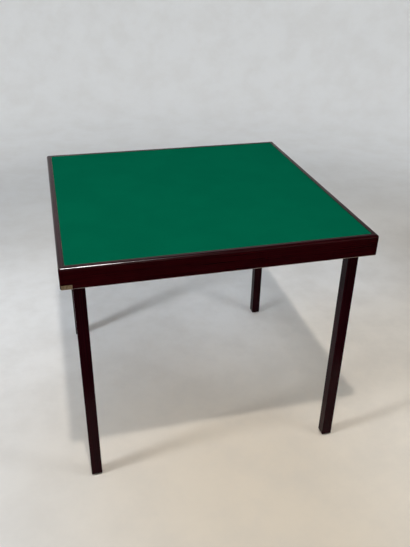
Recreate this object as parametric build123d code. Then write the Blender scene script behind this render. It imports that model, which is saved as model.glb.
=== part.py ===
# Folding card table: a square baize-covered top in a mitred frame, and four
# square legs that fold flat into the frame, each beside the next rail round.
#
# Frame: millimetres, +Z up, origin on the floor under the centre of the top.
# The front rail faces -Y. Every corner is the front left one turned about Z.
import os
from build123d import *

os.makedirs("parts", exist_ok=True)

# The top
top_width = 812.0
table_height = 710.0
rail_height = 57.0
rail_thick = 20.0
lip_width = 15.0
lip_round = 6.5
corner_round = 6.5
lower_arris = 1.0
panel_thick = 9.0
panel_gap = 0.2
baize_thick = 1.2
baize_below_lip = 0.6
baize_gap = 0.4
baize_edge_round = 0.5

# Loose splines across the mitres
spline_thick = 3.0
spline_width = 11.0
spline_below_ledge = 8.0
spline_above_floor_edge = 10.0

# The legs, and where they stand under the frame
leg_side = 30.0
leg_arris = 1.5
leg_end_inset = 29.0
leg_face_inset = 34.5
head_room = 7.2
head_round = 8.0
foot_chamfer = 3.0
stop_gap = 0.3
cheek_gap = 0.3

# Hinge bracket, pressed from sheet steel
bracket_metal = 2.0
bracket_bend = 1.5
bracket_run = 64.0
cheek_toe = 6.0
boss_side_gap = 1.0
pin_radius = 4.0
pin_head_radius = 6.0
pin_head_thick = 1.8
pin_head_bevel = 0.8
pin_run_gap = 0.05
bush_wall = 1.5
block_clearance = 0.5

# Backspring over the leg head
spring_thick = 1.2
spring_width = 12.0
spring_rest_gap = 0.1
spring_tip_reach = 13.0
spring_tip_rise = 1.2
spring_tip_flat = 5.0
spring_nose_past_leg = 1.0
spring_ramp = 18.0
spring_bend = 5.0
spring_tail = 22.0
rivet_radius = 2.0
rivet_head_radius = 3.4
rivet_head_thick = 1.4
rivet_head_bevel = 0.8
rivet_sink_radius = 3.2

# Countersunk screws
bracket_screw_radius = 1.75
bracket_screw_head_radius = 3.4
bracket_screw_length = 9.0
bracket_screw_side = 9.9
plate_screw_radius = 1.5
plate_screw_head_radius = 2.9
plate_screw_length = 12.0

# Packing block beside the bracket
block_run = 90.0

# Brass stop plate let into the corner
plate_metal = 1.5
flange_height = 12.0

# Glide under each foot
glide_radius = 10.0
glide_thick = 3.0
glide_edge_bevel = 0.8
nail_radius = 1.25
nail_length = 14.0

# Cuts run past the surface that they cut by this much
overrun = 5.0

# Levels
half_width = top_width / 2
rail_bottom = table_height - rail_height
rail_inside = half_width - rail_thick
lip_inside = half_width - lip_width
baize_top = table_height - baize_below_lip
panel_top = baize_top - baize_thick
panel_bottom = panel_top - panel_thick
base_bottom = panel_bottom - bracket_metal

# The front left leg's pivot, and what follows from it
leg_half = leg_side / 2
pivot_x = leg_end_inset + leg_half - half_width
pivot_y = leg_face_inset + leg_half - half_width
leg_top = base_bottom - head_room
pivot_z = leg_top - leg_half
stop_x = pivot_x - leg_half - stop_gap
cheek_inner = leg_half + cheek_gap
cheek_outer = cheek_inner + bracket_metal
boss_radius = leg_half - boss_side_gap
bush_radius = pin_radius + pin_run_gap + bush_wall
pivot = Vector(pivot_x, pivot_y, pivot_z)

CORNERS = ["front_left", "front_right", "back_right", "back_left"]
SIDES = ["front", "right", "back", "left"]


def block(low_x, high_x, low_y, high_y, low_z, high_z):
    """A box between two corners."""
    middle = ((low_x + high_x) / 2, (low_y + high_y) / 2, (low_z + high_z) / 2)
    return Pos(*middle) * Box(high_x - low_x, high_y - low_y, high_z - low_z)


def square_slab(half, low_z, high_z):
    """A square slab about the centre of the table."""
    return block(-half, half, -half, half, low_z, high_z)


def turned(shape, corner):
    """The front left corner's piece, turned round to another corner."""
    return Rot(0, 0, 90 * corner) * shape


def along_y(radius, low_y, high_y, centre=pivot):
    """A round bar parallel to the leg's pivot."""
    middle = (centre.X, (low_y + high_y) / 2, centre.Z)
    return Pos(*middle) * Rot(90, 0, 0) * Cylinder(radius, high_y - low_y)


def side_profile(outline, low_y, high_y):
    """A flat outline in X and Z, given from the pivot, thickened along Y."""
    plane = Plane(origin=(pivot_x, high_y, pivot_z), x_dir=(1, 0, 0), z_dir=(0, -1, 0))
    return extrude(plane * outline, amount=high_y - low_y)


def countersunk_screw(radius, head_radius, length):
    """A screw pointing up, with the flat of its head level with Z = 0."""
    head_depth = head_radius - radius
    outline = Polyline(
        (0, 0),
        (head_radius, 0),
        (radius, head_depth),
        (radius, length),
        (0, length),
        close=True,
    )
    return revolve(Plane.XZ * make_face(outline), axis=Axis.Z)


def make_frame_ring():
    """The whole outer form of the frame before it is cut at the mitres."""
    ring = square_slab(half_width, rail_bottom, table_height)
    ring = fillet(ring.edges().filter_by(Axis.Z), corner_round)
    ring = fillet(ring.faces().sort_by(Axis.Z)[-1].edges(), lip_round)
    return chamfer(ring.faces().sort_by(Axis.Z)[0].edges(), lower_arris)


def make_stop_plate(frame_form):
    """An angle of brass, let in flush at the foot of the corner."""
    far_y = pivot_y + leg_half
    leaf = block(-half_width, stop_x, -half_width, far_y, rail_bottom, rail_bottom + plate_metal)
    flange_top = rail_bottom + flange_height
    flange = block(
        -half_width, stop_x, -half_width, plate_metal - half_width, rail_bottom, flange_top
    )
    return (leaf + flange) & frame_form


def plate_screw_places():
    """Into the front rail, and twice into the left rail."""
    rail_middle = rail_thick / 2 - half_width
    run_y = pivot_y + leg_half - rail_middle
    share_of_run = (2 / 5, 4 / 5)
    places = [(stop_x - plate_screw_head_radius - plate_metal, rail_middle)]
    places += [(rail_middle, rail_middle + run_y * share) for share in share_of_run]
    return [Pos(x, y, rail_bottom) for x, y in places]


def make_spline():
    """A loose tongue that stands upright across the mitre."""
    low_z = rail_bottom + spline_above_floor_edge
    high_z = panel_bottom - spline_below_ledge
    tongue = block(
        -spline_width / 2, spline_width / 2, -spline_thick / 2, spline_thick / 2, low_z, high_z
    )
    corner_middle = rail_thick / 2 - half_width
    return Pos(corner_middle, corner_middle, 0) * Rot(0, 0, -45) * tongue


def make_rail(frame_form, plates, screws, splines):
    """The front rail: rebated for the panel, mitred, and cut for its brass."""
    rail = frame_form - square_slab(lip_inside, panel_bottom, table_height + overrun)
    rail -= square_slab(rail_inside, rail_bottom - overrun, table_height)
    reach = half_width + overrun
    mitres = make_face(Polyline((0, 0), (reach, -reach), (-reach, -reach), close=True))
    low_z = rail_bottom - overrun
    rail &= Pos(0, 0, low_z) * extrude(mitres, amount=table_height + overrun - low_z)
    for piece in plates + screws + splines:
        rail -= piece
    return rail


def make_panel(bracket_screws):
    """The plywood panel that the baize is laid on."""
    panel = square_slab(lip_inside - panel_gap, panel_bottom, panel_top)
    for screw in bracket_screws:
        panel -= screw
    return panel


def make_baize():
    """The baize, a little below the lip, with its top edge pressed round."""
    baize = square_slab(lip_inside - baize_gap, panel_top, baize_top)
    return fillet(baize.faces().sort_by(Axis.Z)[-1].edges(), baize_edge_round)


def make_bracket(screws, rivet):
    """A channel under the panel, whose two cheeks hold the pivot pin."""
    base_level = panel_bottom - pivot_z
    base_under = base_level - bracket_metal
    drop = base_level + boss_radius + overrun
    outer = Pos(0, base_level - drop / 2) * Rectangle(2 * cheek_outer, drop)
    inner = Pos(0, base_under - drop / 2) * Rectangle(2 * cheek_inner, drop)
    outer = fillet(outer.vertices().group_by(Axis.Y)[-1], bracket_bend + bracket_metal)
    inner = fillet(inner.vertices().group_by(Axis.Y)[-1], bracket_bend)
    section = Plane(origin=(pivot_x, pivot_y, pivot_z), x_dir=(0, 1, 0), z_dir=(1, 0, 0))
    channel = extrude(section * (outer - inner), amount=bracket_run)
    channel += extrude(section * (outer - inner), amount=-boss_radius)
    toe_level = base_under - cheek_toe
    gusset = make_face(
        Polyline(
            (-boss_radius, 0),
            (-boss_radius, base_level),
            (bracket_run, base_level),
            (bracket_run, toe_level),
            (boss_radius, 0),
            close=True,
        )
    )
    low_y = pivot_y - cheek_outer
    high_y = pivot_y + cheek_outer
    bracket = channel & side_profile(gusset + Circle(boss_radius), low_y, high_y)
    bracket -= along_y(pin_radius, low_y, high_y)
    for piece in screws + [rivet]:
        bracket -= piece
    return bracket


def bracket_screw_places():
    """Two pairs, either side of the backspring."""
    near_x = spring_nose_x() + bracket_screw_head_radius
    far_x = bracket_run - bracket_screw_head_radius - bracket_metal
    return [
        Pos(pivot_x + x, pivot_y + side * bracket_screw_side, base_bottom)
        for x in (near_x, far_x)
        for side in (-1, 1)
    ]


def spring_nose_x():
    """Where the backspring leaves the leg head, from the pivot."""
    return leg_half + spring_nose_past_leg


def rivet_x():
    """The rivet stands in the middle of the backspring's flat tail."""
    return spring_nose_x() + spring_ramp + spring_tail / 2


def make_backspring(rivet):
    """A leaf riveted under the bracket, whose nose rests on the leg head."""
    low = leg_half + spring_rest_gap + spring_thick / 2
    high = base_bottom - pivot_z - spring_thick / 2
    nose = spring_nose_x()
    points = [
        (-spring_tip_reach, low + spring_tip_rise),
        (spring_tip_flat - spring_tip_reach, low),
        (nose, low),
        (nose + spring_ramp, high),
        (nose + spring_ramp + spring_tail, high),
    ]
    route = [Vector(pivot_x + x, pivot_y, pivot_z + z) for x, z in points]
    path = FilletPolyline(*route, radius=spring_bend)
    start = Plane(origin=path @ 0, x_dir=(0, 1, 0), z_dir=path % 0)
    leaf = sweep(start * Rectangle(spring_width, spring_thick), path=path)
    return leaf - rivet


def make_spring_rivet():
    """A rivet, flush above the bracket's base and domed under the spring."""
    low = base_bottom - spring_thick
    outline = Polyline(
        (0, low),
        (rivet_radius, low),
        (rivet_radius, panel_bottom + rivet_radius - rivet_sink_radius),
        (rivet_sink_radius, panel_bottom),
        (0, panel_bottom),
        close=True,
    )
    shank = revolve(Plane.XZ * make_face(outline), axis=Axis.Z)
    head = Pos(0, 0, low - rivet_head_thick / 2) * Cylinder(rivet_head_radius, rivet_head_thick)
    head = chamfer(head.edges().group_by(Axis.Z)[0], rivet_head_bevel)
    return Pos(pivot_x + rivet_x(), pivot_y, 0) * (shank + head)


def make_pivot_pin():
    """A pin headed over outside both cheeks."""
    shank = along_y(pin_radius, pivot_y - cheek_outer, pivot_y + cheek_outer)
    head_low = pivot_y - cheek_outer - pin_head_thick
    head = along_y(pin_head_radius, head_low, pivot_y - cheek_outer)
    head = chamfer(head.edges().group_by(Axis.Y)[0], pin_head_bevel)
    tail_high = pivot_y + cheek_outer + pin_head_thick
    tail = along_y(pin_head_radius, pivot_y + cheek_outer, tail_high)
    tail = chamfer(tail.edges().group_by(Axis.Y)[-1], pin_head_bevel)
    return shank + head + tail


def make_stop_block():
    """The block in the corner that the open leg's head stands against."""
    return block(
        -rail_inside, stop_x, -rail_inside, pivot_y + leg_half,
        rail_bottom + plate_metal, panel_bottom,
    )


def make_packing_block():
    """The block between the rail and the bracket, hollowed for the pin's head."""
    low_x = stop_x
    high_y = pivot_y - cheek_outer
    packing = block(
        low_x, low_x + block_run, -rail_inside, high_y,
        pivot_z - leg_half, panel_bottom,
    )
    hollow_radius = pin_head_radius + block_clearance
    hollow_low = high_y - pin_head_thick - block_clearance
    return packing - along_y(hollow_radius, hollow_low, high_y)


def make_leg():
    """A square leg, chamfered at the foot and rounded at the head as a cam."""
    foot_side = leg_side - 2 * foot_chamfer
    foot_round = leg_arris
    low = Pos(0, 0, glide_thick) * RectangleRounded(foot_side, foot_side, foot_round)
    ankle_z = glide_thick + foot_chamfer
    ankle = Pos(0, 0, ankle_z) * RectangleRounded(leg_side, leg_side, leg_arris)
    stick = loft([low.face(), ankle.face()], ruled=True)
    stick += extrude(ankle, amount=leg_top - ankle_z)
    stick = Pos(pivot_x, pivot_y, 0) * stick

    foot_z = -pivot_z
    head = make_face(
        Polyline(
            (0, leg_half),
            (leg_half - head_round, leg_half),
        )
        + RadiusArc((leg_half - head_round, leg_half), (leg_half, leg_half - head_round), head_round)
        + Polyline(
            (leg_half, leg_half - head_round),
            (leg_half, foot_z),
            (-leg_half, foot_z),
            (-leg_half, 0),
        )
        + RadiusArc((-leg_half, 0), (0, leg_half), leg_half)
    )
    leg = stick & side_profile(head, pivot_y - leg_half, pivot_y + leg_half)
    leg -= along_y(bush_radius, pivot_y - leg_half, pivot_y + leg_half)
    return leg - make_nail()


def make_bush():
    """The brass bush that the leg turns on."""
    low_y = pivot_y - leg_half
    high_y = pivot_y + leg_half
    return along_y(bush_radius, low_y, high_y) - along_y(pin_radius + pin_run_gap, low_y, high_y)


def make_nail():
    """The nail of the glide."""
    outline = Polyline(
        (0, 0),
        (nail_radius, 0),
        (nail_radius, nail_length),
        (0, nail_length),
        close=True,
    )
    nail = revolve(Plane.XZ * make_face(outline), axis=Axis.Z)
    return Pos(pivot_x, pivot_y, glide_thick) * nail


def make_glide():
    """A flat disc nailed under the foot."""
    disc = Pos(pivot_x, pivot_y, glide_thick / 2) * Cylinder(glide_radius, glide_thick)
    disc = chamfer(disc.edges().group_by(Axis.Z)[0], glide_edge_bevel)
    return disc + make_nail()


def save(shape, node):
    """Write one sub-part."""
    export_step(shape, f"parts/{node}.step")


frame_form = make_frame_ring()

# The fasteners and inlays of the front left corner
plate_screw = countersunk_screw(plate_screw_radius, plate_screw_head_radius, plate_screw_length)
plate_screws = [place * plate_screw for place in plate_screw_places()]
bracket_screw = countersunk_screw(
    bracket_screw_radius, bracket_screw_head_radius, bracket_screw_length
)
bracket_screws = [place * bracket_screw for place in bracket_screw_places()]
plate = make_stop_plate(frame_form)
for screw in plate_screws:
    plate -= screw
spline = make_spline()
rivet = make_spring_rivet()

# The pieces that every corner has, by name
corner_pieces = {
    "stop_plate": plate,
    "stop_block": make_stop_block(),
    "packing_block": make_packing_block(),
    "hinge_bracket": make_bracket(bracket_screws, rivet),
    "pivot_pin": make_pivot_pin(),
    "backspring": make_backspring(rivet),
    "leg": make_leg(),
    "leg_bush": make_bush(),
    "glide": make_glide(),
}
for number, corner in enumerate(CORNERS):
    for name, piece in corner_pieces.items():
        save(turned(piece, number), f"{name}_{corner}")

# The four rails, alike but for their place
rail = make_rail(
    frame_form,
    [turned(plate, number) for number in (0, 1)],
    [turned(screw, number) for number in (0, 1) for screw in plate_screws],
    [turned(spline, number) for number in (0, 1)],
)
for number, side in enumerate(SIDES):
    save(turned(rail, number), f"rail_{side}")

# Fasteners of one kind share a file
groups = {
    "mitre_splines": [spline],
    "spring_rivets": [rivet],
    "bracket_screws": bracket_screws,
    "plate_screws": plate_screws,
}
for name, pieces in groups.items():
    copies = [turned(piece, number) for number in range(len(CORNERS)) for piece in pieces]
    save(Compound(children=copies), name)

all_bracket_screws = [
    turned(screw, number) for number in range(len(CORNERS)) for screw in bracket_screws
]
save(make_panel(all_bracket_screws), "play_panel")
save(make_baize(), "baize")
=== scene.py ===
# %% [markdown]
# # A folding card table, dressed for a studio picture
#
# The imported model is a fixed frame: every board, bracket and pin is in its true
# place, in metres. This notebook gives each one its finish, remakes the few that
# need softer shapes than the frame holds, and sets up a camera and a plain studio.
# First the frame is loaded, and its size is kept.

# %% Load the frame
import math

import bmesh
import bpy
from mathutils import Matrix, Vector


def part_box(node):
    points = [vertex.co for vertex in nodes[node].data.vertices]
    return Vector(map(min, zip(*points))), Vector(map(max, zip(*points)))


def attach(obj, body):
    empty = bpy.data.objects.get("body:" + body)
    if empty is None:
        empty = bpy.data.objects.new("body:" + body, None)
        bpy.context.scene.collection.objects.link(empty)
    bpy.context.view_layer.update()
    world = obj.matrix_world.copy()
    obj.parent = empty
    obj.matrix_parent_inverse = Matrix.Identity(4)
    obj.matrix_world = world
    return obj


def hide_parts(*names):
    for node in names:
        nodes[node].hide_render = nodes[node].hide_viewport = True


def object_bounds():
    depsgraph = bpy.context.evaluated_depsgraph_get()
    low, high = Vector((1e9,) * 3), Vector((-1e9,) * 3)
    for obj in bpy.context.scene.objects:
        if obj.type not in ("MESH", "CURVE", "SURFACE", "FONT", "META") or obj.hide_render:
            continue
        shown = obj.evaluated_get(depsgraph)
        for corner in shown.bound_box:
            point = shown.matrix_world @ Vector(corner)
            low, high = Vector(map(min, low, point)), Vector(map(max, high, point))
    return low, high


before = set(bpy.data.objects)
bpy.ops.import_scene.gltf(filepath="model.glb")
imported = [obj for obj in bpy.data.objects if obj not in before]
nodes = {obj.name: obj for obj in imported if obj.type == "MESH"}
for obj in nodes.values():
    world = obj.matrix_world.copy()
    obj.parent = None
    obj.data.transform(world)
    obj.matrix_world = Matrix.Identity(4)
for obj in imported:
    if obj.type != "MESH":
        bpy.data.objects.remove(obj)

cad_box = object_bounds()
CORNERS = ["front_left", "front_right", "back_right", "back_left"]
print("frame box", [tuple(round(v, 4) for v in corner) for corner in cad_box])

# %% [markdown]
# ## The camera
#
# The table is seen from a little below a standing person's eyes, to the left of
# its middle, looking down at the cloth. A camera can be aimed with a constraint,
# but here its three axes are worked out from a heading, a tilt and a slight roll,
# because that gives one exact direction that never depends on another object.

# %% Set the camera
HEADING, TILT, ROLL = (math.radians(a) for a in (14.976, 29.570, 1.107))
CAMERA_PLACE = (-0.3946, -1.6612, 1.3931)
FOCAL_MM = 40.191

ahead = Vector((
    math.sin(HEADING) * math.cos(TILT),
    math.cos(HEADING) * math.cos(TILT),
    -math.sin(TILT),
))
level_right = Vector((math.cos(HEADING), -math.sin(HEADING), 0))
level_up = level_right.cross(ahead)
right = level_right * math.cos(ROLL) + level_up * math.sin(ROLL)
up = level_up * math.cos(ROLL) - level_right * math.sin(ROLL)

camera = bpy.data.objects.new("camera", bpy.data.cameras.new("camera"))
camera.data.lens = FOCAL_MM
camera.data.sensor_width = 36.0
axes = Matrix((right, up, -ahead)).transposed().to_4x4()
camera.matrix_world = Matrix.Translation(CAMERA_PLACE) @ axes
bpy.context.scene.collection.objects.link(camera)
bpy.context.scene.camera = camera
bpy.context.scene.view_settings.view_transform = "Standard"
print("camera at", [round(v, 3) for v in camera.matrix_world.translation])

# %% [markdown]
# ## Helpers for shader nodes
#
# A finish is a small graph of shader nodes. Writing one in code is mostly adding
# nodes and joining sockets, so short helpers keep the later cells readable. The
# first adds a node with its settings and values, and wires what is given as a
# socket; the next ones name the sums that come up often. Two more start and place
# a node group, which is an effect made once and used in several finishes, each
# time with its own values.

# %% Node helpers
def add(tree, kind, settings=None, **inputs):
    """Adds a node. Underscores in an input's name stand for spaces."""
    node = tree.nodes.new("ShaderNode" + kind)
    for name, value in (settings or {}).items():
        setattr(node, name, value)
    for name, value in inputs.items():
        plug(tree, node.inputs[name.replace("_", " ")], value)
    return node


def plug(tree, socket, value):
    """Joins a socket to another, or sets its value."""
    if isinstance(value, bpy.types.NodeSocket):
        tree.links.new(value, socket)
    else:
        socket.default_value = value


def maths(tree, operation, first, second=0.0, third=0.0, clamp=False):
    """One Math node, and its result."""
    node = add(tree, "Math", {"operation": operation, "use_clamp": clamp})
    for socket, value in zip(node.inputs, (first, second, third)):
        plug(tree, socket, value)
    return node.outputs[0]


def vector_maths(tree, operation, *values):
    """One Vector Math node, and its results."""
    node = add(tree, "VectorMath", {"operation": operation})
    for socket, value in zip(node.inputs, values):
        plug(tree, socket, value)
    return node.outputs


def mix_colour(tree, share, first, second, most=None):
    """The second colour laid over the first by a share, which `most` scales down."""
    if most is not None:
        share = maths(tree, "MULTIPLY", share, most)
    node = add(tree, "Mix", {"data_type": "RGBA"})
    for socket, value in ((0, share), (6, first), (7, second)):
        plug(tree, node.inputs[socket], value)
    return node.outputs[2]


def spread(tree, value, low, high, to_low=0.0, to_high=1.0):
    """Stretches a value's range smoothly, and clamps it."""
    node = add(tree, "MapRange", {"interpolation_type": "SMOOTHSTEP"})
    for socket, number in zip(node.inputs, (value, low, high, to_low, to_high)):
        plug(tree, socket, number)
    return node.outputs[0]


def noise(tree, vector, scale, detail=2.0, roughness=0.5):
    """A Noise Texture's value."""
    return add(
        tree, "TexNoise", Vector=vector, Scale=scale, Detail=detail, Roughness=roughness
    ).outputs[0]


def stretched(tree, vector, scale, turn=(0, 0, 0), move=(0, 0, 0)):
    """Coordinates scaled, turned and moved by a Mapping node."""
    return add(
        tree, "Mapping", Vector=vector, Location=move, Rotation=turn, Scale=scale
    ).outputs[0]


def new_group(name, numbers, results):
    """A node group that takes coordinates and numbers, and both its ends."""
    tree = bpy.data.node_groups.new(name, "ShaderNodeTree")
    new_socket = tree.interface.new_socket
    new_socket("Coordinates", in_out="INPUT", socket_type="NodeSocketVector")
    for title, value in numbers.items():
        socket = new_socket(title, in_out="INPUT", socket_type="NodeSocketFloat")
        socket.default_value = value
    for title in results:
        new_socket(title, in_out="OUTPUT", socket_type="NodeSocketFloat")
    start = tree.nodes.new("NodeGroupInput")
    end = tree.nodes.new("NodeGroupOutput")
    return tree, start.outputs, end.inputs


def use_group(tree, group, **inputs):
    """Places a group in a finish, and gives its outputs."""
    node = tree.nodes.new("ShaderNodeGroup")
    node.node_tree = group
    for name, value in inputs.items():
        plug(tree, node.inputs[name.replace("_", " ")], value)
    return node.outputs


def new_finish(name, **inputs):
    """A material with constant values, its node tree and its shader's inputs."""
    finish = bpy.data.materials.new(name)
    finish.use_nodes = True
    tree = finish.node_tree
    shader = tree.nodes["Principled BSDF"]
    for socket_name, value in inputs.items():
        shader.inputs[socket_name.replace("_", " ")].default_value = value
    return finish, tree, shader.inputs


def object_place(tree):
    """Where a point is on the piece, in metres."""
    return add(tree, "TexCoord").outputs["Object"]


def add_bumps(tree, shader, height, strength, distance):
    """Gives a finish fine bumps."""
    bump = add(tree, "Bump", Strength=strength, Distance=distance, Height=height)
    plug(tree, shader["Normal"], bump.outputs[0])


def seen_rays(tree):
    """One for rays from the camera, mirrored rays and rays through glass."""
    rays = add(tree, "LightPath").outputs
    through = maths(tree, "MAXIMUM", rays["Is Glossy Ray"], rays["Is Transmission Ray"])
    return maths(tree, "MAXIMUM", rays["Is Camera Ray"], through)


# %% [markdown]
# ## Effects that several finishes share
#
# Wood shows growth rings, which sawing turns into long streaks, and pores, which
# are short dark dashes along the grain. Both come from noise that is stretched
# along the board. A picture of wood could be wrapped round each board instead,
# but noise in three dimensions meets correctly at every edge and end, as a solid
# piece of wood does. The group takes coordinates whose X runs along the grain.

# %% The wood grain group
# How far the log's heart, which the rings run round, is from a board's own axis.
HEART_ACROSS, HEART_BELOW = 0.031, 0.047


def make_wood_grain():
    tree, given, result = new_group(
        "wood_grain",
        {
            "Rings per Metre": 240.0, "Wander": 0.006,
            "Pore Length": 0.006, "Pore Width": 0.0004,
        },
        ["Figure", "Pores", "Streaks"],
    )
    place = given["Coordinates"]
    along = stretched(tree, place, (1.6, 9.0, 9.0))
    drift = add(tree, "TexNoise", Vector=along, Scale=1.0, Detail=2.0).outputs[1]
    wander = add(tree, "CombineXYZ", X=0.0, Y=given["Wander"], Z=given["Wander"])
    moved = vector_maths(tree, "MULTIPLY_ADD", drift, wander.outputs[0], place)[0]
    parts = add(tree, "SeparateXYZ", Vector=moved).outputs
    across = maths(tree, "ADD", parts[1], HEART_ACROSS)
    depth = maths(tree, "ADD", parts[2], HEART_BELOW)
    squares = [maths(tree, "MULTIPLY", side, side) for side in (across, depth)]
    radius = maths(tree, "SQRT", maths(tree, "ADD", *squares))
    rings = maths(tree, "MULTIPLY", radius, given["Rings per Metre"])
    saw = maths(tree, "FRACT", rings)
    plug(tree, result["Figure"], spread(tree, saw, 0.15, 1.0))

    lengthwise = maths(tree, "DIVIDE", 1.0, given["Pore Length"])
    sideways = maths(tree, "DIVIDE", 1.0, given["Pore Width"])
    pore_scale = add(tree, "CombineXYZ", X=lengthwise, Y=sideways, Z=sideways)
    pore_place = vector_maths(tree, "MULTIPLY", place, pore_scale.outputs[0])[0]
    pores = noise(tree, pore_place, 1.0, 1.0)
    plug(tree, result["Pores"], spread(tree, pores, 0.58, 0.72))

    streaks = noise(tree, stretched(tree, place, (7.0, 260.0, 260.0)), 1.0, 3.0, 0.6)
    plug(tree, result["Streaks"], spread(tree, streaks, 0.3, 0.7))
    return tree


wood_grain = make_wood_grain()
print("group", wood_grain.name, "with", len(wood_grain.nodes), "nodes")

# %% [markdown]
# Handling rubs a finish away at its edges first. The edges could be painted by
# hand, or found from the mesh's own curvature, but the frame's meshes are loose
# triangles, which have no curvature to read. So the group asks the Bevel node for
# the normal that a rounded edge would have, and compares it with the real one:
# where the two differ, there is an edge near. Noise breaks the wear up.

# %% The edge wear group
def make_edge_wear():
    tree, given, result = new_group(
        "edge_wear", {"Reach": 0.001, "Patchiness": 0.5}, ["Wear"]
    )
    rounded = add(tree, "Bevel", {"samples": 6}, Radius=given["Reach"]).outputs[0]
    normal = add(tree, "NewGeometry").outputs["Normal"]
    facing = vector_maths(tree, "DOT_PRODUCT", rounded, normal)["Value"]
    bend = maths(tree, "SUBTRACT", 1.0, facing)
    nearness = spread(tree, bend, 0.02, 0.16)
    patches = noise(tree, given["Coordinates"], 55.0, 4.0, 0.65)
    spared = spread(tree, patches, 0.4, 0.62)
    spared = maths(tree, "MULTIPLY", given["Patchiness"], spared)
    kept = maths(tree, "SUBTRACT", 1.0, spared)
    plug(tree, result["Wear"], maths(tree, "MULTIPLY", nearness, kept, clamp=True))
    return tree


edge_wear = make_edge_wear()
print("group", edge_wear.name, "with", len(edge_wear.nodes), "nodes")

# %% [markdown]
# Nothing that is handled shines evenly: hands leave dull smears, and wiping leaves
# faint clean ones. This group gives a slow, cloudy value and fine scratches, which
# lacquer, metals and fibre use for their roughness.

# %% The smears group
# Scratches run two ways. Each way has the noise's scale and its turn.
SCRATCHES = ((900.0, 25.0, 60.0), 0.5), ((30.0, 800.0, 60.0), 0.2)


def make_smears():
    tree, given, result = new_group(
        "smears", {"Cloud Size": 0.05}, ["Clouds", "Scratches"]
    )
    place = given["Coordinates"]
    sized = add(tree, "VectorMath", {"operation": "SCALE"})
    plug(tree, sized.inputs[0], place)
    plug(tree, sized.inputs["Scale"], maths(tree, "DIVIDE", 1.0, given["Cloud Size"]))
    clouds = noise(tree, sized.outputs[0], 1.0, 4.0, 0.6)
    plug(tree, result["Clouds"], spread(tree, clouds, 0.3, 0.7))
    lines = [
        noise(tree, stretched(tree, place, scale, (0.0, 0.0, turn)), 1.0, 1.0)
        for scale, turn in SCRATCHES
    ]
    sharp = [spread(tree, line, 0.66, 0.78) for line in lines]
    plug(tree, result["Scratches"], maths(tree, "MAXIMUM", *sharp))
    return tree


def smear(tree, shader, marks, gloss, dull, scratched):
    """Roughness that goes from gloss to dull in clouds and rises in scratches."""
    roughness = maths(tree, "MULTIPLY_ADD", marks["Clouds"], dull - gloss, gloss)
    roughness = maths(tree, "MULTIPLY_ADD", marks["Scratches"], scratched, roughness)
    plug(tree, shader["Roughness"], roughness)


smears = make_smears()
print("group", smears.name, "with", len(smears.nodes), "nodes")

# %% [markdown]
# ## Stained and lacquered beech
#
# The frame and legs are beech under a red mahogany stain, so dark that it is
# nearly black, and a clear lacquer. Beech is close-grained: under the stain it
# shows soft streaks and short flecks. The stain is thinner where the lacquer has
# rubbed through at an arris, and there the wood shows as a dull tan line. Along
# the lower arris of the rails a pale line is painted in long patches: a painted
# reflection of the bright floor. One maker function serves three directions of
# grain, because a board's grain always runs along its length. The legs are less
# glossy than the rails and take a lower specular level. Their copy of the stain
# is darker and cooler, which is painted shade, as they are the same wood.

# %% Stained beech, for three directions of grain
GRAIN_TURNS = {
    "x": (0.0, 0.0, 0.0),
    "y": (0.0, 0.0, math.pi / 2),
    "z": (0.0, math.pi / 2, 0.0),
}
RAIL_STAIN = (0.0085, 0.0004, 0.0010, 1.0), (0.030, 0.0010, 0.0024, 1.0)
# The legs' copy of the stain is darker and cooler than the rails': painted shade on the
# same wood.
LEG_STAIN_PAINTED_SHADE = (0.0070, 0.0007, 0.0018, 1.0), (0.022, 0.0018, 0.0044, 1.0)
RUBBED_WOOD = (0.17, 0.105, 0.070, 1.0)
# Pale colour of the painted floor reflection along the rails' lower arris.
ARRIS_PAINTED_REFLECTION = (0.60, 0.50, 0.46, 1.0)
HALF = cad_box[1].x
RAIL_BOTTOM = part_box("rail_front")[0].z
# The painted reflection at the lower arris fades in between these distances from
# the outer face, and between these heights above the rail's underside.
REFLECTION_IN, REFLECTION_UP = (0.0016, 0.0006), (0.0018, 0.0010)
LACQUER_GLOSS, LACQUER_DULL = 0.135, 0.20
RAIL_SHINE, LEG_SHINE = 0.15, 0.06


def lower_arris_painted_reflection(tree, place):
    """Where a pale line, a painted reflection of the bright floor, lies on the outer lower
    arris of the rails.
    """
    parts = add(tree, "SeparateXYZ", Vector=place).outputs
    across, along = (maths(tree, "ABSOLUTE", parts[axis]) for axis in (0, 1))
    out = maths(tree, "MAXIMUM", across, along)
    outer = spread(tree, out, *(HALF - inward for inward in REFLECTION_IN))
    low = spread(tree, parts[2], *(RAIL_BOTTOM + rise for rise in REFLECTION_UP))
    blotches = noise(tree, place, 38.0, 3.0, 0.6)
    patches = spread(tree, blotches, 0.30, 0.60, to_low=0.45, to_high=0.95)
    return maths(tree, "MULTIPLY", maths(tree, "MULTIPLY", outer, low), patches)


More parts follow.
